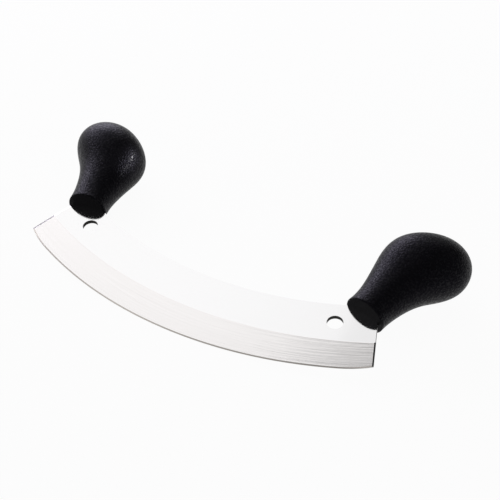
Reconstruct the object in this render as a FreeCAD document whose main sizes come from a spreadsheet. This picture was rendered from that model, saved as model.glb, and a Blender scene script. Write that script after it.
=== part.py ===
import FreeCAD, Part
import math
import os
import Sketcher
from FreeCAD import Placement, Rotation, Vector

# Two-handled mezzaluna: one crescent blade with a tang at each end, and a bulb handle moulded
# round each tang. Millimetres and degrees.
# The blade's own frame has X along the chord, Y from the middle of the cutting edge up to the
# handles and Z out of the blade's flat. The knife lies on a table, on the middle of its edge
# and on both bulbs, so all pieces share one placement that tilts the blade up to the handles.

SIZES = {
    # Blade outline; the edge sweeps up more sharply over the last stretch before each tip
    "chord": 228.8,
    "edge_radius": 256.0,
    "spine_radius": 222.0,
    "blade_width": 43.5,
    "end_slant": 20.8,
    "sweep_length": 16.5,
    "sweep_radius": 73.0,
    "tip_round": 0.25,
    # Blade section, from the flat through the grind to the honed edge
    "blade_thickness": 2.5,
    "grind_width": 19.0,
    "edge_thickness": 0.45,
    "hone_width": 0.8,
    "edge_land": 0.1,
    # Neck of the handle: in from the blade's tip, and down from the line of the spine
    "neck_inset": 19.6,
    "neck_seat": 6.6,
    "splay": 11.5,
    # Hanging hole: down from the neck's end face, and in from the handle's axis
    "hole_diameter": 9.2,
    "hole_drop": 14.3,
    "hole_inset": 9.0,
    # Tang inside the handle, with keying holes that the plastic fills
    "tang_width": 14.0,
    "tang_length": 46.0,
    "tang_root": 6.0,
    "key_diameter": 6.0,
    "key_first": 13.0,
    "key_pitch": 17.0,
    # Handle, ring by ring from the neck to the tip: its rise from the ring below, its width
    # along the blade, its depth across the blade, and its lean outward from the neck's axis
    "neck_width": 25.0,
    "neck_depth": 24.2,
    "throat_rise": 16.2,
    "throat_width": 27.6,
    "throat_depth": 25.8,
    "throat_lean": 0.5,
    "flare_rise": 17.0,
    "flare_width": 38.0,
    "flare_depth": 33.5,
    "flare_lean": 1.5,
    "bulb_rise": 18.0,
    "bulb_width": 48.0,
    "bulb_depth": 42.6,
    "bulb_lean": 6.0,
    "crown_rise": 12.0,
    "crown_width": 37.5,
    "crown_depth": 32.5,
    "crown_lean": 9.3,
    "cap_rise": 6.5,
    "cap_width": 22.5,
    "cap_depth": 19.0,
    "cap_lean": 10.5,
    "tip_rise": 3.5,
    "tip_lean": 10.5,
    # Rim of the neck's end face
    "rim_round": 0.8,
}
RINGS = ("throat", "flare", "bulb", "crown", "cap")
POLES_ROUND_A_RING = 16
RING_DEGREE = 3
MESH_STEP = 0.02
MEASURING_SLACK = 0.01

NECK_ACROSS = "Sizes.chord / 2 - Sizes.neck_inset"
NECK_UP = (
    "Sizes.blade_width + Sizes.spine_radius - Sizes.neck_seat"
    f" - sqrt(Sizes.spine_radius ^ 2 - ({NECK_ACROSS}) ^ 2)"
)
START, END, CENTRE = range(1, 4)
LEVEL_AXIS, UPRIGHT_AXIS = range(-1, -3, -1)
ORIGIN_POINT = (LEVEL_AXIS, START)

doc = FreeCAD.newDocument("Mezzaluna")
sheet = doc.addObject("Spreadsheet::Sheet", "Sizes")
for row, (alias, value) in enumerate(SIZES.items(), start=1):
    sheet.set(f"A{row}", alias)
    sheet.set(f"B{row}", str(value))
    sheet.setAlias(f"B{row}", alias)
doc.recompute()


def size(alias):
    return float(sheet.get(alias))


def neck_centre():
    """Middle of the neck's end face, in the blade's frame."""
    return Vector(sheet.evalExpression(NECK_ACROSS), sheet.evalExpression(NECK_UP), 0)


def handle_directions():
    """Outward across the handle, and up its axis from the neck, in the blade's frame."""
    splay = math.radians(size("splay"))
    return Vector(math.cos(splay), -math.sin(splay), 0), Vector(math.sin(splay), math.cos(splay), 0)


def origin_plane(body, role):
    return next(plane for plane in body.Origin.OriginFeatures if plane.Role == role)


def new_sketch(body, name, role="XY_Plane"):
    sketch = body.newObject("Sketcher::SketchObject", name)
    sketch.AttachmentSupport = [(origin_plane(body, role), "")]
    sketch.MapMode = "FlatFace"
    return sketch


def neck_sketch(body, name):
    """Sketch whose Y runs up the handle's axis from the middle of the neck's end face."""
    sketch = new_sketch(body, name)
    sketch.AttachmentOffset = Placement(neck_centre(), Rotation(Vector(0, 0, 1), -size("splay")))
    sketch.setExpression("AttachmentOffset.Base.x", NECK_ACROSS)
    sketch.setExpression("AttachmentOffset.Base.y", NECK_UP)
    sketch.setExpression("AttachmentOffset.Rotation.Angle", "-Sizes.splay * 1 deg")
    return sketch


def rule(sketch, kind, *places):
    sketch.addConstraint(Sketcher.Constraint(kind, *places))


def bind(sketch, name, kind, places, start, expression):
    """Adds a named dimension to a sketch and ties it to the sheet."""
    index = sketch.addConstraint(Sketcher.Constraint(kind, *places, start))
    sketch.renameConstraint(index, name)
    sketch.setExpression(f"Constraints.{name}", expression)


def low_arc(radius, low, half_span):
    """Arc that is lowest at X = 0 and reaches as far to both sides."""
    circle = Part.Circle(Vector(0, low + radius, 0), Vector(0, 0, 1), radius)
    half_angle = math.asin(half_span / radius)
    return Part.ArcOfCircle(circle, -math.pi / 2 - half_angle, -math.pi / 2 + half_angle)


def bind_low_arc(sketch, arc, radius, low):
    """Ties an arc's radius, and the height of its lowest point, to expressions."""
    rule(sketch, "PointOnObject", arc, CENTRE, UPRIGHT_AXIS)
    rule(sketch, "Symmetric", arc, START, arc, END, UPRIGHT_AXIS)
    tall = f"{radius} + {low}"
    bind(sketch, f"radius_{arc}", "Radius", (arc,), sheet.evalExpression(radius), radius)
    bind(sketch, f"centre_{arc}", "DistanceY", (*ORIGIN_POINT, arc, CENTRE), sheet.evalExpression(tall), tall)


# Blade

def crescent_outline(body):
    """Cutting edge swept up at its tips, two slanted ends, a shoulder under each neck, and the spine."""
    sketch = new_sketch(body, "CrescentOutline")
    half_chord = size("chord") / 2
    sweep_start = half_chord - size("sweep_length")
    sweep_radius = size("sweep_radius")
    neck = neck_centre()
    outward, _ = handle_directions()
    edge_arc = low_arc(size("edge_radius"), 0, sweep_start)
    sweep_centre = edge_arc.EndPoint + (edge_arc.Center - edge_arc.EndPoint) * sweep_radius / edge_arc.Radius
    start_angle = math.asin((sweep_start - sweep_centre.x) / sweep_radius) - math.pi / 2
    tip_angle = math.asin((half_chord - sweep_centre.x) / sweep_radius) - math.pi / 2
    right_circle = Part.Circle(sweep_centre, Vector(0, 0, 1), sweep_radius)
    right_arc = Part.ArcOfCircle(right_circle, start_angle, tip_angle)
    rough_shoulder = outward * size("neck_width") / 3
    outer = neck + rough_shoulder
    inner = neck - rough_shoulder

    def left(point):
        return Vector(-point.x, point.y, 0)

    left_circle = Part.Circle(left(sweep_centre), Vector(0, 0, 1), sweep_radius)
    left_arc = Part.ArcOfCircle(left_circle, -math.pi - tip_angle, -math.pi - start_angle)

    edge = sketch.addGeometry(edge_arc)
    right_sweep = sketch.addGeometry(right_arc)
    right_end = sketch.addGeometry(Part.LineSegment(right_arc.EndPoint, outer))
    right_shoulder = sketch.addGeometry(Part.LineSegment(outer, inner))
    spine = sketch.addGeometry(low_arc(size("spine_radius"), size("blade_width"), inner.x))
    left_shoulder = sketch.addGeometry(Part.LineSegment(left(inner), left(outer)))
    left_end = sketch.addGeometry(Part.LineSegment(left(outer), left_arc.StartPoint))
    left_sweep = sketch.addGeometry(left_arc)
    neck_point = sketch.addGeometry(Part.Point(neck), True)

    rule(sketch, "Tangent", edge, END, right_sweep, START)
    rule(sketch, "Coincident", right_sweep, END, right_end, START)
    rule(sketch, "Coincident", right_end, END, right_shoulder, START)
    rule(sketch, "Coincident", right_shoulder, END, spine, END)
    rule(sketch, "Coincident", spine, START, left_shoulder, START)
    rule(sketch, "Coincident", left_shoulder, END, left_end, START)
    rule(sketch, "Coincident", left_end, END, left_sweep, START)
    rule(sketch, "Tangent", left_sweep, END, edge, START)
    rule(sketch, "Equal", left_sweep, right_sweep)
    rule(sketch, "Horizontal", left_sweep, START, right_sweep, END)
    rule(sketch, "Symmetric", left_end, START, right_end, END, UPRIGHT_AXIS)
    rule(sketch, "PointOnObject", neck_point, START, right_shoulder)
    bind_low_arc(sketch, edge, "Sizes.edge_radius", "0")
    bind_low_arc(sketch, spine, "Sizes.spine_radius", "Sizes.blade_width")
    bind(sketch, "sweep_start", "DistanceX", (*ORIGIN_POINT, edge, END), sweep_start,
         "Sizes.chord / 2 - Sizes.sweep_length")
    bind(sketch, "sweep_radius", "Radius", (right_sweep,), sweep_radius, "Sizes.sweep_radius")
    bind(sketch, "half_chord", "DistanceX", (*ORIGIN_POINT, right_sweep, END), half_chord, "Sizes.chord / 2")
    bind(sketch, "neck_across", "DistanceX", (*ORIGIN_POINT, neck_point, START), neck.x, NECK_ACROSS)
    bind(sketch, "neck_up", "DistanceY", (*ORIGIN_POINT, neck_point, START), neck.y, NECK_UP)
    bind(sketch, "end_slant", "Angle", (right_end,), math.radians(90 + size("end_slant")),
         "(90 + Sizes.end_slant) * 1 deg")
    bind(sketch, "splay", "Angle", (right_shoulder,), math.radians(180 - size("splay")),
         "(180 - Sizes.splay) * 1 deg")
    return sketch


def tang_outline(body):
    """Strip up the handle's axis, with its foot in the crescent and a round upper end."""
    sketch = neck_sketch(body, "TangOutline")
    half_width = size("tang_width") / 2
    foot = -size("tang_root")
    shoulder = size("tang_length") - half_width
    low_left, low_right = Vector(-half_width, foot, 0), Vector(half_width, foot, 0)
    high_left, high_right = Vector(-half_width, shoulder, 0), Vector(half_width, shoulder, 0)
    round_end = Part.Circle(Vector(0, shoulder, 0), Vector(0, 0, 1), half_width)

    base = sketch.addGeometry(Part.LineSegment(low_left, low_right))
    right_side = sketch.addGeometry(Part.LineSegment(low_right, high_right))
    top = sketch.addGeometry(Part.ArcOfCircle(round_end, 0, math.pi))
    left_side = sketch.addGeometry(Part.LineSegment(high_left, low_left))

    rule(sketch, "Coincident", base, END, right_side, START)
    rule(sketch, "Tangent", right_side, END, top, START)
    rule(sketch, "Tangent", top, END, left_side, START)
    rule(sketch, "Coincident", left_side, END, base, START)
    rule(sketch, "Vertical", right_side)
    rule(sketch, "Symmetric", base, START, base, END, UPRIGHT_AXIS)
    bind(sketch, "width", "DistanceX", (base, START, base, END), 2 * half_width, "Sizes.tang_width")
    bind(sketch, "root", "DistanceY", (base, END, *ORIGIN_POINT), -foot, "Sizes.tang_root")
    bind(sketch, "length", "DistanceY", (*ORIGIN_POINT, top, CENTRE), shoulder,
         "Sizes.tang_length - Sizes.tang_width / 2")
    return sketch


def round_holes(body, name, diameter, places):
    """Circles on the handle's axis frame, each at an (across, up) pair of expressions."""
    sketch = neck_sketch(body, name)
    for across, up in places:
        spot = Vector(sheet.evalExpression(across), sheet.evalExpression(up), 0)
        radius = sheet.evalExpression(diameter) / 2
        hole = sketch.addGeometry(Part.Circle(spot, Vector(0, 0, 1), radius))
        bind(sketch, f"diameter_{hole}", "Diameter", (hole,), 2 * radius, diameter)
        bind(sketch, f"across_{hole}", "DistanceX", (*ORIGIN_POINT, hole, CENTRE), spot.x, across)
        bind(sketch, f"up_{hole}", "DistanceY", (*ORIGIN_POINT, hole, CENTRE), spot.y, up)
    return sketch


def below_arc(body, name, low, height):
    """All that lies below an arc like the cutting edge's, at a height above the blade's middle plane."""
    sketch = new_sketch(body, name)
    sketch.setExpression("AttachmentOffset.Base.z", height)
    bottom = -size("grind_width")
    arc = low_arc(size("edge_radius"), sheet.evalExpression(low), size("chord") / 2 + size("grind_width"))
    left, right = arc.StartPoint, arc.EndPoint
    low_left, low_right = Vector(left.x, bottom, 0), Vector(right.x, bottom, 0)

    top = sketch.addGeometry(arc)
    right_side = sketch.addGeometry(Part.LineSegment(right, low_right))
    base = sketch.addGeometry(Part.LineSegment(low_right, low_left))
    left_side = sketch.addGeometry(Part.LineSegment(low_left, left))

    rule(sketch, "Coincident", top, END, right_side, START)
    rule(sketch, "Coincident", right_side, END, base, START)
    rule(sketch, "Coincident", base, END, left_side, START)
    rule(sketch, "Coincident", left_side, END, top, START)
    rule(sketch, "Vertical", right_side)
    rule(sketch, "Vertical", left_side)
    rule(sketch, "Horizontal", base)
    bind_low_arc(sketch, top, "Sizes.edge_radius", low)
    bind(sketch, "half_span", "DistanceX", (*ORIGIN_POINT, top, END), right.x, "Sizes.chord / 2 + Sizes.grind_width")
    bind(sketch, "bottom", "DistanceY", (base, START, *ORIGIN_POINT), -bottom, "Sizes.grind_width")
    return sketch


def hone_section(body):
    """Triangle outside the honed bevel, to be turned about the edge's centre; its X runs up the blade.

    It is twice as long as the bevel, so that it ends in the open beside the blade.
    """
    sketch = new_sketch(body, "HoneSection", "YZ_Plane")
    bevel_top = (
        "(Sizes.edge_thickness / 2 + Sizes.hone_width / Sizes.grind_width"
        " * (Sizes.blade_thickness - Sizes.edge_thickness) / 2)"
    )
    past_bevel = f"2 * {bevel_top} - Sizes.edge_land / 2"
    at_edge = Vector(0, size("edge_land") / 2, 0)
    beside_edge = Vector(0, sheet.evalExpression(past_bevel), 0)
    past_top = Vector(2 * size("hone_width"), beside_edge.y, 0)
    centre = Vector(size("edge_radius"), 0, 0)

    bevel = sketch.addGeometry(Part.LineSegment(at_edge, past_top))
    outside = sketch.addGeometry(Part.LineSegment(past_top, beside_edge))
    below = sketch.addGeometry(Part.LineSegment(beside_edge, at_edge))
    turning_axis = sketch.addGeometry(Part.LineSegment(centre, centre + Vector(0, size("edge_radius"), 0)), True)

    rule(sketch, "Coincident", bevel, END, outside, START)
    rule(sketch, "Coincident", outside, END, below, START)
    rule(sketch, "Coincident", below, END, bevel, START)
    rule(sketch, "Horizontal", outside)
    rule(sketch, "Vertical", turning_axis)
    rule(sketch, "PointOnObject", bevel, START, UPRIGHT_AXIS)
    rule(sketch, "PointOnObject", below, START, UPRIGHT_AXIS)
    rule(sketch, "PointOnObject", turning_axis, START, LEVEL_AXIS)
    bind(sketch, "land", "DistanceY", (*ORIGIN_POINT, bevel, START), at_edge.y, "Sizes.edge_land / 2")
    bind(sketch, "past_bevel", "DistanceY", (*ORIGIN_POINT, outside, START), past_top.y, past_bevel)
    bind(sketch, "past_top", "DistanceX", (*ORIGIN_POINT, outside, START), past_top.x, "2 * Sizes.hone_width")
    bind(sketch, "centre", "DistanceX", (*ORIGIN_POINT, turning_axis, START), centre.x, "Sizes.edge_radius")
    bind(sketch, "reach", "DistanceY", (turning_axis, START, turning_axis, END), centre.x, "Sizes.edge_radius")
    return sketch


def through_pocket(body, name, sketch):
    pocket = body.newObject("PartDesign::Pocket", name)
    pocket.Profile = sketch
    pocket.Type = "ThroughAll"
    pocket.Midplane = True
    return pocket


def mirrored(body, name, originals, role):
    mirror = body.newObject("PartDesign::Mirrored", name)
    mirror.Originals = originals
    mirror.MirrorPlane = (origin_plane(body, role), [""])
    body.Tip = mirror
    return mirror


def make_blade():
    body = doc.addObject("PartDesign::Body", "Blade")
    body.Label = "blade"

    crescent = body.newObject("PartDesign::Pad", "Crescent")
    crescent.Profile = crescent_outline(body)
    crescent.Midplane = True
    crescent.setExpression("Length", "Sizes.blade_thickness")
    doc.recompute()

    tips = body.newObject("PartDesign::Fillet", "RoundedTips")
    thickness = (1 + MEASURING_SLACK) * size("blade_thickness")
    reach = (1 - MEASURING_SLACK) * size("chord") / 2
    corners = [
        f"Edge{number}"
        for number, edge in enumerate(crescent.Shape.Edges, start=1)
        if edge.Length < thickness and abs(edge.CenterOfMass.x) > reach
    ]
    tips.Base = (crescent, corners)
    tips.setExpression("Radius", "Sizes.tip_round")
    doc.recompute()

    tang = body.newObject("PartDesign::Pad", "Tang")
    tang.Profile = tang_outline(body)
    tang.Midplane = True
    tang.setExpression("Length", "Sizes.blade_thickness")
    key_places = [("0", "Sizes.key_first"), ("0", "Sizes.key_first + Sizes.key_pitch")]
    key_holes = through_pocket(body, "KeyHoles", round_holes(body, "KeyCircles", "Sizes.key_diameter", key_places))
    hanging_place = [("-Sizes.hole_inset", "-Sizes.hole_drop")]
    hanging_hole = through_pocket(
        body, "HangingHole", round_holes(body, "HangingCircle", "Sizes.hole_diameter", hanging_place)
    )
    doc.recompute()
    mirrored(body, "OtherEnd", [tang, key_holes, hanging_hole], "YZ_Plane")
    doc.recompute()

    grind = body.newObject("PartDesign::SubtractiveLoft", "Grind")
    grind.Profile = below_arc(body, "GrindLine", "Sizes.grind_width", "Sizes.blade_thickness / 2")
    grind.Sections = [below_arc(body, "EdgeLine", "0", "Sizes.edge_thickness / 2")]
    grind.Ruled = True
    doc.recompute()
    hone = body.newObject("PartDesign::Groove", "Hone")
    hone.Profile = hone_section(body)
    hone.ReferenceAxis = (hone.Profile[0], ["Axis0"])
    hone.Angle = 360
    doc.recompute()
    mirrored(body, "BothSides", [grind, hone], "XY_Plane")
    doc.recompute()
    return body


# Handles

def handle_rings():
    """Rings from the neck to the tip, as (height, half width, half depth, lean)."""
    rings = [(0.0, size("neck_width") / 2, size("neck_depth") / 2, 0.0)]
    height = 0.0
    for name in RINGS:
        height += size(f"{name}_rise")
        rings.append((height, size(f"{name}_width") / 2, size(f"{name}_depth") / 2, size(f"{name}_lean")))
    rings.append((height + size("tip_rise"), 0.0, 0.0, size("tip_lean")))
    return rings


def smooth_path(points, stops):
    """Spline from the neck to the tip through (half size, lean, height) points.

    It is drawn on over the tip and down the far side, where the half sizes are negative, and is
    then cut at the tip, so that it comes in level there.
    """
    far_points = [Vector(-point.x, point.y, point.z) for point in reversed(points[:-1])]
    far_stops = [2 * stops[-1] - stop for stop in reversed(stops[:-1])]
    path = Part.BSplineCurve()
    path.interpolate(Points=points + far_points, Parameters=stops + far_stops)
    path.segment(stops[0], stops[-1])
    return path


def ring_poles():
    """Control points of a smooth closed cubic curve that runs clockwise along the unit circle."""
    step = 2 * math.pi / POLES_ROUND_A_RING
    reach = 3 / (2 + math.cos(step))
    return [(reach * math.cos(step * k), -reach * math.sin(step * k)) for k in range(POLES_ROUND_A_RING)]


def handle_shape():
    """Solid bulb on its neck: oval rings on a leaning line, a round tip, and a flat end face with a round rim."""
    rings = handle_rings()
    stops = [0.0]
    for (low, low_half, _, _), (high, high_half, _, _) in zip(rings, rings[1:]):
        stops.append(stops[-1] + math.hypot(high - low, high_half - low_half))
    wide = smooth_path([Vector(half, lean, up) for up, half, _, lean in rings], stops)
    deep = smooth_path([Vector(half, lean, up) for up, _, half, lean in rings], stops)

    neck = neck_centre()
    outward, upward = handle_directions()
    sideways = Vector(0, 0, 1)
    rows = list(zip(wide.getPoles(), deep.getPoles()))
    poles = [
        [neck + outward * (w.y + w.x * across) + sideways * (d.x * through) + upward * w.z for w, d in rows]
        for across, through in ring_poles()
    ]
    skin = Part.BSplineSurface()
    skin.buildFromPolesMultsKnots(
        poles,
        [1] * (POLES_ROUND_A_RING + 1),
        wide.getMultiplicities(),
        list(range(POLES_ROUND_A_RING + 1)),
        wide.getKnots(),
        True,
        False,
        RING_DEGREE,
        wide.Degree,
    )
    side = skin.toShape()
    mouth = next(edge for edge in side.Edges if edge.isClosed() and not edge.Degenerated)
    shell = Part.Shell([side, Part.Face(Part.Wire([mouth]))])
    shell.sewShape()
    bulb = Part.Solid(shell)
    rim = next(edge for edge in bulb.Edges if edge.isClosed() and not edge.Degenerated)
    return bulb.makeFillet(size("rim_round"), [rim]).Solids[0]


def resting_placement(handle):
    """Tilts the blade until edge and bulbs touch one level table, below the middle of the knife."""
    half_land = size("edge_land") / 2
    edge_corners = [Vector(0, 0, -half_land), Vector(0, 0, half_land)]
    bulb_points = handle.tessellate(MESH_STEP)[0]
    tilt = max(math.atan2(-half_land - point.z, point.y) for point in bulb_points)
    resting = Placement(Vector(), Rotation(Vector(1, 0, 0), math.degrees(tilt)))
    turned = [resting.multVec(point) for point in edge_corners + bulb_points]
    front = min(point.y for point in turned)
    back = max(point.y for point in turned)
    table = min(point.z for point in turned)
    resting.Base = Vector(0, -(front + back) / 2, -table)
    return resting


def moulded_handle(label, blank, blade):
    """Handle with the tang's slot and the plugs through the tang's holes, left by the tang itself."""
    handle = doc.addObject("Part::Cut", label)
    handle.Label = label
    handle.Base = blank
    handle.Tool = blade
    return handle


# Assembly: the blade, and a handle moulded on each tang

blade = make_blade()
right_blank = doc.addObject("Part::Feature", "RightBlank")
right_blank.Shape = handle_shape()
resting = resting_placement(right_blank.Shape)
blade.Placement = resting
right_blank.Placement = resting
left_blank = doc.addObject("Part::Mirroring", "LeftBlank")
left_blank.Source = right_blank
left_blank.Base = Vector(0, 0, 0)
left_blank.Normal = Vector(1, 0, 0)
handle_right = moulded_handle("handle_right", right_blank, blade)
handle_left = moulded_handle("handle_left", left_blank, blade)
doc.recompute()

nodes = (blade, handle_right, handle_left)
for thing in doc.Objects:
    if "Invalid" in thing.State or "Error" in thing.State:
        raise RuntimeError(f"{thing.Name} failed: {thing.State}")
for node in nodes:
    if node.Shape.isNull() or not node.Shape.isValid() or len(node.Shape.Solids) != 1:
        raise RuntimeError(f"{node.Label} is not one valid solid")

os.makedirs("parts", exist_ok=True)
for node in nodes:
    node.Shape.exportStep(os.path.join("parts", f"{node.Label}.step"))
    print(f"{node.Label}: {node.Shape.Volume / 1000:.2f} cubic centimetres")
print(f"blade tilt {math.degrees(resting.Rotation.Angle):.2f} degrees")
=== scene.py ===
import math

import bpy
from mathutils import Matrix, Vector

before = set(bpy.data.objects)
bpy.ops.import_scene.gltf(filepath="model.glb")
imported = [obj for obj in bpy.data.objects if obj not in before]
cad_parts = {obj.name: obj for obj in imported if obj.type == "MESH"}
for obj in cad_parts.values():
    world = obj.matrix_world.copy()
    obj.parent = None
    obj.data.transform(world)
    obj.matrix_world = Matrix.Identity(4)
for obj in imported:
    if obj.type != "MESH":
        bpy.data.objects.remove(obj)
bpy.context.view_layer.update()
scene = bpy.context.scene
scene.view_settings.view_transform = "Standard"


# Blade
# One crescent of 2.5 mm stainless sheet. Both flats are polished, the band along the edge is
# ground to a thin wedge by a wheel that runs lengthwise, and the edge itself is honed.

BLADE_TILT = math.radians(11.568)
EDGE_MIDDLE = Vector((0.0, -0.062882, 0.000049))
FLAT_DIRECTION = (0.0, -math.sin(BLADE_TILT), math.cos(BLADE_TILT))
EDGE_RADIUS = 0.256
SWEEP_START = 0.0979
SWEEP_RADIUS = 0.073
TIP_ACROSS = 0.1144
TIP_UP = 0.02898
END_SLANT = math.radians(20.8)
HOLE_ACROSS = 0.08313
HOLE_UP = 0.04594
HOLE_RADIUS = 0.0046
GRIND_WIDTH = 0.019
HONE_WIDTH = 0.0008

# Broken corners at the ends, wide on the grind and narrow on the flat; the grind's corner also carries a
# painted shade line
GROUND_BREAK = 0.0009
GROUND_DROP = 0.0004
FLAT_BREAK = 0.0003
FLAT_DROP = 0.00011

# Where one finish or painted shade fades into the next: distances past its border, or how far a wall turns
# away
SOFT_BORDER = 0.0001
FLAT_FADE = (-0.0003, 0.0001)
STEP_FADE = (-0.0016, -0.0002)
HOLE_FADE = (0.0006, 0.0003)
WALL_FACING = (0.8, 0.5)

# Wheel marks: pitch across the edge, length along it, and detail
COARSE_LINES = (0.0014, 0.08, 3.0)
FINE_LINES = (0.0005, 0.03, 2.0)
LINE_ROUGHNESS = 0.65
FINE_SHARE = 0.3
LINE_DEPTH = 0.000065
BORDER_STEP = 0.00001
STEEL_SMEAR = 0.03
SMEAR_FADE = (0.35, 0.7)

GROUND_COLOURS = ((0.87, 0.848, 0.842), (0.94, 0.918, 0.912))
FLAT_COLOURS = ((0.91, 0.905, 0.908), (0.94, 0.935, 0.938))
# The hone's colour is painted shade: a darker line that stands for the dark reflection of its narrow bevel
PAINTED_HONE_SHADE = (0.62, 0.58, 0.54)
# The ends' colour is painted shade along the grind's broken corners
PAINTED_END_SHADE = (0.2, 0.19, 0.182)
WALL_COLOUR = (0.5, 0.49, 0.48)
# The hole walls' colour is painted shade, near black
PAINTED_HOLE_SHADE = (0.02, 0.019, 0.018)
GROUND_ROUGHNESS = (0.12, 0.17)
FLAT_ROUGHNESS = (0.06, 0.10)
WALL_ROUGHNESS = (0.28, 0.4)
HONE_ROUGHNESS = 0.25
HOLE_ROUGHNESS = 0.5

# Places of the Mix node's sockets for numbers and for colours
MIX_NUMBERS = (2, 3)
MIX_COLOURS = (6, 7)
MIXED_COLOUR = 2


def new_material(name):
    """Node material that starts as one Principled shader."""
    material = bpy.data.materials.new(name)
    material.use_nodes = True
    return material, material.node_tree, material.node_tree.nodes["Principled BSDF"]


def feed_input(tree, feed, target):
    """Links another node's output to an input, or sets the input to a plain value."""
    if isinstance(feed, bpy.types.NodeSocket):
        tree.links.new(feed, target)
    else:
        target.default_value = feed


def place(tree, kind, feeds=None, **settings):
    """Adds a node with its settings, and gives its inputs values or links."""
    node = tree.nodes.new(kind)
    for name, value in settings.items():
        setattr(node, name, value)
    for socket, feed in (feeds or {}).items():
        feed_input(tree, feed, node.inputs[socket])
    return node


def maths(tree, operation, *terms):
    """Result of a Math node on numbers or sockets."""
    return place(tree, "ShaderNodeMath", dict(enumerate(terms)), operation=operation).outputs[0]


def distance(tree, across, up):
    """Length of a step across and up."""
    step = place(tree, "ShaderNodeCombineXYZ", {"X": across, "Y": up})
    feeds = {0: step.outputs[0]}
    return place(tree, "ShaderNodeVectorMath", feeds, operation="LENGTH").outputs["Value"]


def reach_along(tree, vector, direction):
    """How far a vector reaches along a direction."""
    feeds = {0: vector, 1: direction}
    return place(tree, "ShaderNodeVectorMath", feeds, operation="DOT_PRODUCT").outputs["Value"]


def slope(tree, value, start, end):
    """0 where the value is at start, 1 where it is at end, straight between."""
    feeds = {"Value": value, "From Min": start, "From Max": end}
    return place(tree, "ShaderNodeMapRange", feeds).outputs[0]


def fade(tree, value, start, end):
    """0 where the value is at start, 1 where it is at end, smooth between."""
    feeds = {"Value": value, "From Min": start, "From Max": end}
    return place(tree, "ShaderNodeMapRange", feeds, interpolation_type="SMOOTHSTEP").outputs[0]


def ramp_number(tree, share, low, high):
    """Number between two, by a share from 0 to 1."""
    feeds = {"Factor": share, **dict(zip(MIX_NUMBERS, (low, high)))}
    return place(tree, "ShaderNodeMix", feeds, data_type="FLOAT").outputs[0]


def ramp_colour(tree, share, low, high):
    """Colour between two, by a share from 0 to 1."""
    node = place(tree, "ShaderNodeMix", {"Factor": share}, data_type="RGBA")
    for socket, colour in zip(MIX_COLOURS, (low, high)):
        feed = colour if isinstance(colour, bpy.types.NodeSocket) else (*colour, 1.0)
        feed_input(tree, feed, node.inputs[socket])
    return node.outputs[MIXED_COLOUR]


def handling_marks():
    """Group: soft cloudy smears that hands and cloths leave on a wiped surface."""
    group = bpy.data.node_groups.new("handling_marks", "ShaderNodeTree")
    group.interface.new_socket("Place", in_out="INPUT", socket_type="NodeSocketVector")
    group.interface.new_socket("Size", in_out="INPUT", socket_type="NodeSocketFloat")
    group.interface.new_socket("Smear", in_out="OUTPUT", socket_type="NodeSocketFloat")
    inside = place(group, "NodeGroupInput")
    outside = place(group, "NodeGroupOutput")
    scale = maths(group, "DIVIDE", 1.0, inside.outputs["Size"])
    feeds = {
        "Vector": inside.outputs["Place"],
        "Scale": scale,
        "Detail": 3.0,
        "Roughness": 0.6,
        "Distortion": 0.8,
    }
    clouds = place(group, "ShaderNodeTexNoise", feeds)
    group.links.new(fade(group, clouds.outputs["Fac"], *SMEAR_FADE), outside.inputs["Smear"])
    return group


marks_group = handling_marks()


def smears(tree, places, size):
    """Handling marks of one size on a material."""
    feeds = {"Place": places.outputs["Object"], "Size": size}
    return place(tree, "ShaderNodeGroup", feeds, node_tree=marks_group).outputs["Smear"]


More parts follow.
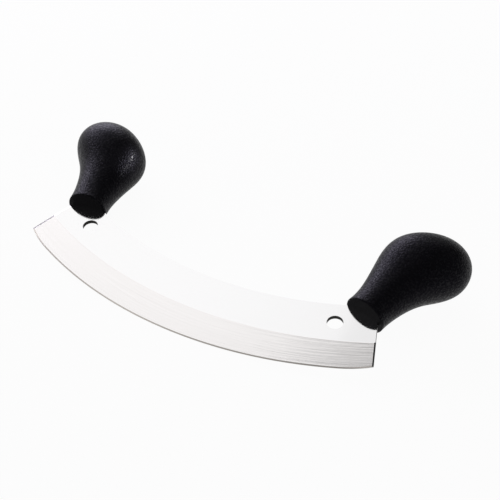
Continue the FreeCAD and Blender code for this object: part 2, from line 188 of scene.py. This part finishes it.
def blade_zones(tree, places):
    """Shares from 0 to 1 of the blade's zones, and the measures that its marks follow."""
    feeds = {
        "Vector": places.outputs["Object"],
        "Location": EDGE_MIDDLE,
        "Rotation": (BLADE_TILT, 0.0, 0.0),
    }
    on_blade = place(tree, "ShaderNodeMapping", feeds, vector_type="TEXTURE").outputs[0]
    spot = place(tree, "ShaderNodeSeparateXYZ", {0: on_blade})
    across = spot.outputs["X"]
    up = spot.outputs["Y"]
    outwards = maths(tree, "ABSOLUTE", across)
    zones = {}

    # The grind ends on the edge's arc, moved straight up
    arc_drop = maths(tree, "SUBTRACT", EDGE_RADIUS**2, maths(tree, "MULTIPLY", across, across))
    arc_height = maths(tree, "SUBTRACT", EDGE_RADIUS, maths(tree, "SQRT", arc_drop))
    lift = maths(tree, "SUBTRACT", up, arc_height)
    flat_start, flat_end = (GRIND_WIDTH + past for past in FLAT_FADE)
    zones["lift"] = lift
    zones["on_flat"] = fade(tree, lift, flat_start, flat_end)
    zones["off_flat"] = maths(tree, "SUBTRACT", 1.0, zones["on_flat"])

    # The hone keeps one width along the edge and up both swept ends
    below_centre = maths(tree, "SUBTRACT", EDGE_RADIUS, up)
    turn = maths(tree, "ARCTAN2", across, below_centre)
    zones["along_edge"] = maths(tree, "MULTIPLY", turn, EDGE_RADIUS)
    above_ring = maths(tree, "SUBTRACT", EDGE_RADIUS, distance(tree, across, below_centre))
    bend = 1.0 - SWEEP_RADIUS / EDGE_RADIUS
    bend_up = EDGE_RADIUS - bend * math.sqrt(EDGE_RADIUS**2 - SWEEP_START**2)
    past_bend = maths(tree, "SUBTRACT", outwards, bend * SWEEP_START)
    below_bend = maths(tree, "SUBTRACT", bend_up, up)
    above_sweep = maths(tree, "SUBTRACT", SWEEP_RADIUS, distance(tree, past_bend, below_bend))
    on_sweep = maths(tree, "GREATER_THAN", outwards, SWEEP_START)
    above_edge = ramp_number(tree, on_sweep, above_ring, above_sweep)
    zones["on_hone"] = fade(tree, above_edge, HONE_WIDTH + SOFT_BORDER, HONE_WIDTH - SOFT_BORDER)

    # Walls are the surfaces that turn away from the flat's direction, with those of the holes apart, whose
    # walls are painted near black as shade
    facing = reach_along(tree, places.outputs["Normal"], FLAT_DIRECTION)
    zones["on_wall"] = fade(tree, maths(tree, "ABSOLUTE", facing), *WALL_FACING)
    past_hole = maths(tree, "SUBTRACT", outwards, HOLE_ACROSS)
    above_hole = maths(tree, "SUBTRACT", up, HOLE_UP)
    rim_start, rim_end = (HOLE_RADIUS + past for past in HOLE_FADE)
    zones["by_hole"] = fade(tree, distance(tree, past_hole, above_hole), rim_start, rim_end)

    # Both ends are cut straight through the tip
    inside_tip = maths(tree, "SUBTRACT", TIP_ACROSS, outwards)
    below_tip = maths(tree, "SUBTRACT", TIP_UP, up)
    drop = maths(tree, "MULTIPLY", below_tip, math.sin(END_SLANT))
    from_end = maths(tree, "MULTIPLY_ADD", inside_tip, math.cos(END_SLANT), drop)
    # A narrow band at the grind's ends is painted in shade
    end_shade_band = fade(tree, from_end, GROUND_BREAK + SOFT_BORDER, GROUND_BREAK - SOFT_BORDER)
    zones["from_end"] = from_end
    zones["at_ground_end"] = maths(tree, "MULTIPLY", end_shade_band, zones["off_flat"])
    return zones


def wheel_lines(tree, zones, pitch, length, detail):
    """Wheel marks: noise drawn out along the edge."""
    along = maths(tree, "DIVIDE", zones["along_edge"], length)
    over = maths(tree, "DIVIDE", zones["lift"], pitch)
    drawn_out = place(tree, "ShaderNodeCombineXYZ", {"X": along, "Y": over})
    feeds = {
        "Vector": drawn_out.outputs[0],
        "Scale": 1.0,
        "Detail": detail,
        "Roughness": LINE_ROUGHNESS,
    }
    return place(tree, "ShaderNodeTexNoise", feeds).outputs["Fac"]


def ground_steel():
    """Polished flats, a grind with lines along the edge, a honed edge painted in a darker shade, broken
    ends with a painted shade line, and hole walls painted near black as shade.
    """
    material, tree, shader = new_material("ground_steel")
    places = place(tree, "ShaderNodeTexCoord")
    zones = blade_zones(tree, places)
    coarse_lines = wheel_lines(tree, zones, *COARSE_LINES)
    fine_lines = wheel_lines(tree, zones, *FINE_LINES)
    smear = smears(tree, places, STEEL_SMEAR)

    ground_colour = ramp_colour(tree, coarse_lines, *GROUND_COLOURS)
    flat_colour = ramp_colour(tree, fine_lines, *FLAT_COLOURS)
    colour = ramp_colour(tree, zones["on_flat"], ground_colour, flat_colour)
    # The honed edge is painted in a darker shade
    colour = ramp_colour(tree, zones["on_hone"], colour, PAINTED_HONE_SHADE)
    # A painted shade line on the grind's broken ends, over the real broken corner of the bump
    colour = ramp_colour(tree, zones["at_ground_end"], colour, PAINTED_END_SHADE)
    # Cut walls keep a rougher steel colour, and hole walls are painted near black as shade
    wall_and_hole_shade = ramp_colour(tree, zones["by_hole"], WALL_COLOUR, PAINTED_HOLE_SHADE)
    colour = ramp_colour(tree, zones["on_wall"], colour, wall_and_hole_shade)
    tree.links.new(colour, shader.inputs["Base Color"])

    ground_roughness = ramp_number(tree, coarse_lines, *GROUND_ROUGHNESS)
    flat_roughness = ramp_number(tree, smear, *FLAT_ROUGHNESS)
    roughness = ramp_number(tree, zones["on_flat"], ground_roughness, flat_roughness)
    roughness = ramp_number(tree, zones["on_hone"], roughness, HONE_ROUGHNESS)
    cut_roughness = ramp_number(tree, fine_lines, *WALL_ROUGHNESS)
    wall_roughness = ramp_number(tree, zones["by_hole"], cut_roughness, HOLE_ROUGHNESS)
    roughness = ramp_number(tree, zones["on_wall"], roughness, wall_roughness)
    tree.links.new(roughness, shader.inputs["Roughness"])

    both_lines = maths(tree, "MULTIPLY_ADD", fine_lines, FINE_SHARE, coarse_lines)
    ground_lines = maths(tree, "MULTIPLY", both_lines, zones["off_flat"])
    relief = maths(tree, "MULTIPLY", ground_lines, LINE_DEPTH)
    step_start, step_end = (GRIND_WIDTH + past for past in STEP_FADE)
    to_border = fade(tree, zones["lift"], step_start, step_end)
    relief = maths(tree, "MULTIPLY_ADD", to_border, BORDER_STEP, relief)
    for zone, width, depth in (("off_flat", GROUND_BREAK, GROUND_DROP), ("on_flat", FLAT_BREAK, FLAT_DROP)):
        corner = maths(tree, "MULTIPLY", slope(tree, zones["from_end"], width, 0.0), zones[zone])
        relief = maths(tree, "MULTIPLY_ADD", corner, -depth, relief)
    bump = place(tree, "ShaderNodeBump", {"Strength": 1.0, "Distance": 1.0, "Height": relief})
    tree.links.new(bump.outputs["Normal"], shader.inputs["Normal"])
    shader.inputs["Metallic"].default_value = 1.0
    return material


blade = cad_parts["blade"]
blade.data.materials.clear()
blade.data.materials.append(ground_steel())


# Handles
# A right and a left bulb, each one moulding of black plastic shot round the blade's tang, so that
# the neck's flat end meets the steel with no collar. The mould's etched wall leaves a fine grain.

END_DIRECTION = (0.0, -math.cos(BLADE_TILT), -math.sin(BLADE_TILT))
END_FACING = (0.90, 0.97)
END_SMOOTHING = 0.85
GRAIN_SIZE = 0.00106
GRAIN_DEPTH = 0.00044
GRAIN_MIDDLE = 0.5
GRAIN_ROUGHNESS = 0.24
GRAIN_TOPS = (0.5, 0.64)
GLINT = 0.19
PLASTIC_SMEAR = 0.018
SMEAR_ROUGHNESS = (0.34, 0.40)
GRAIN_COLOURS = ((0.003, 0.003, 0.0035), (0.007, 0.0065, 0.008))
# The neck ends' colour is painted shade, darker than the plastic
END_SHADE_COLOUR = (0.002, 0.002, 0.002)
PLASTIC_SHEEN = {
    "Coat Roughness": 0.28,
    "Coat IOR": 1.4,
    "Specular IOR Level": 0.05,
    "Specular Tint": (0.76, 0.71, 1.0, 1.0),
}


def grained_plastic():
    """Black plastic with a fine grain that glints on its tops, and smoother flat neck ends painted darker
    as shade.
    """
    material, tree, shader = new_material("grained_plastic")
    places = place(tree, "ShaderNodeTexCoord")
    feeds = {
        "Vector": places.outputs["Object"],
        "Scale": 1.0 / GRAIN_SIZE,
        "Detail": 1.0,
        "Roughness": 0.5,
    }
    grain = place(tree, "ShaderNodeTexNoise", feeds).outputs["Fac"]
    facing = reach_along(tree, places.outputs["Normal"], END_DIRECTION)
    on_end = fade(tree, facing, *END_FACING)
    smoothing = maths(tree, "MULTIPLY", on_end, END_SMOOTHING)
    relief = ramp_number(tree, smoothing, grain, GRAIN_MIDDLE)

    colour = ramp_colour(tree, relief, *GRAIN_COLOURS)
    # The neck ends that face down and forward are painted darker, as shade
    colour = ramp_colour(tree, on_end, colour, END_SHADE_COLOUR)
    tree.links.new(colour, shader.inputs["Base Color"])

    smeared = ramp_number(tree, smears(tree, places, PLASTIC_SMEAR), *SMEAR_ROUGHNESS)
    roughest = maths(tree, "ADD", smeared, GRAIN_ROUGHNESS / 2)
    roughness = maths(tree, "MULTIPLY_ADD", relief, -GRAIN_ROUGHNESS, roughest)
    tree.links.new(roughness, shader.inputs["Roughness"])

    bump = place(tree, "ShaderNodeBump", {"Strength": 1.0, "Distance": GRAIN_DEPTH, "Height": relief})
    tree.links.new(bump.outputs["Normal"], shader.inputs["Normal"])
    glints = maths(tree, "MULTIPLY", fade(tree, relief, *GRAIN_TOPS), GLINT)
    tree.links.new(glints, shader.inputs["Coat Weight"])
    for name, value in PLASTIC_SHEEN.items():
        shader.inputs[name].default_value = value
    return material


plastic = grained_plastic()
for name in ("handle_right", "handle_left"):
    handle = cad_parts[name]
    handle.data.materials.clear()
    handle.data.materials.append(plastic)


# Table
# A plain white sweep that the knife lies on. It shows white wherever the camera or a reflection
# sees it, and still takes the knife's soft shadow.

TABLE_SIZE = 30.0
TABLE_DROP = 0.0001
WHITE = (1.0, 1.0, 1.0, 1.0)
WHITE_SEEN = 0.955
TABLE_FINISH = {
    "Base Color": (0.7, 0.7, 0.7, 1.0),
    "Roughness": 0.9,
    "Specular IOR Level": 0.0,
}


def white_table():
    """Matt pale board that looks white to the camera and in reflections."""
    material, tree, shader = new_material("white_table")
    for name, value in TABLE_FINISH.items():
        shader.inputs[name].default_value = value
    glow = place(tree, "ShaderNodeEmission", {"Color": WHITE, "Strength": 1.0})
    path = place(tree, "ShaderNodeLightPath").outputs
    mirrored = maths(tree, "MAXIMUM", path["Is Glossy Ray"], path["Is Transmission Ray"])
    seen = maths(tree, "MAXIMUM", path["Is Camera Ray"], mirrored)
    share = maths(tree, "MULTIPLY", seen, WHITE_SEEN)
    both = place(tree, "ShaderNodeMixShader", {0: share, 1: shader.outputs[0], 2: glow.outputs[0]})
    tree.links.new(both.outputs[0], tree.nodes["Material Output"].inputs["Surface"])
    return material


half = TABLE_SIZE / 2
corners = [(x, y, -TABLE_DROP) for x, y in ((-half, -half), (half, -half), (half, half), (-half, half))]
table_mesh = bpy.data.meshes.new("table")
table_mesh.from_pydata(corners, [], [(0, 1, 2, 3)])
table_mesh.materials.append(white_table())
table = bpy.data.objects.new("table", table_mesh)
scene.collection.objects.link(table)


# Light
# A soft room with pale walls left and right. Two flat panels hang over the left, which the blade
# mirrors, a bright strip stands low on the left, and a small lamp far right sparkles on the grain.

LEFT_DIRECTION = (-1.0, 0.0, 0.0)
LEFT_FADE = (-0.5, 0.5)
RIGHT_FADE = (-0.35, -0.75)
LEFT_WALL = 0.54
RIGHT_WALL = 0.38
DARK_CORNER = 0.05
STRIP_COLOUR = (0.86, 0.82, 1.0)
SPOT_PLACE = Vector((0.494, 0.388, 0.343))
SPOT_AIM = Vector((-0.0877, 0.033, 0.0304))

world = bpy.data.worlds.new("room")
scene.world = world
world.use_nodes = True
room = world.node_tree
background = room.nodes["Background"]
looking = place(room, "ShaderNodeTexCoord")
leftness = reach_along(room, looking.outputs["Generated"], LEFT_DIRECTION)
right_light = ramp_number(room, fade(room, leftness, *RIGHT_FADE), DARK_CORNER, RIGHT_WALL)
walls = ramp_number(room, fade(room, leftness, *LEFT_FADE), right_light, LEFT_WALL)
room.links.new(walls, background.inputs["Strength"])
background.inputs["Color"].default_value = WHITE


def hang_lamp(name, lamp, location, turn):
    """Puts a lamp in the room, turned by three angles in radians."""
    holder = bpy.data.objects.new(name, lamp)
    holder.location = location
    holder.rotation_euler = turn
    scene.collection.objects.link(holder)


def panel_light(name, location, turn, width, height, brightness):
    """Rectangular lamp, turned by three angles in degrees; its brightness is what a mirror shows of it."""
    lamp = bpy.data.lights.new(name, "AREA")
    lamp.shape = "RECTANGLE"
    lamp.size = width
    lamp.size_y = height
    lamp.energy = math.pi * width * height * brightness
    hang_lamp(name, lamp, location, [math.radians(angle) for angle in turn])
    return lamp


panel_light(
    "over_panel",
    location=(-0.656, 0.863, 1.0),
    turn=(0.0, 0.0, -38.7),
    width=1.558,
    height=1.8,
    brightness=0.42,
)
panel_light(
    "inner_panel",
    location=(-1.02, 0.84, 0.99),
    turn=(0.0, 0.0, 0.0),
    width=1.6,
    height=1.3,
    brightness=0.08,
)
left_strip = panel_light(
    "left_strip",
    location=(-0.932, 0.713, 0.46),
    turn=(68.0, 0.0, -110.0),
    width=1.29,
    height=0.6,
    brightness=5.5,
)
left_strip.color = STRIP_COLOUR

snooted_spot = bpy.data.lights.new("snooted_spot", "SPOT")
snooted_spot.energy = 28.0
snooted_spot.spot_size = math.radians(1.8)
snooted_spot.spot_blend = 1.0
snooted_spot.shadow_soft_size = 0.004
spot_turn = (SPOT_PLACE - SPOT_AIM).to_track_quat("Z", "Y").to_euler()
hang_lamp("snooted_spot", snooted_spot, SPOT_PLACE, spot_turn)


# Camera
# It looks down on the knife from the front right, as the picture does.

CAMERA_PLACE = (0.24538, -0.41512, 0.37223)
CAMERA_TURN = (53.4603, -2.1476, 30.2684)

camera_lens = bpy.data.cameras.new("camera")
camera_lens.sensor_width = 36.0
camera_lens.lens = 73.61
camera = bpy.data.objects.new("camera", camera_lens)
camera.location = CAMERA_PLACE
camera.rotation_euler = [math.radians(angle) for angle in CAMERA_TURN]
scene.collection.objects.link(camera)
scene.camera = camera
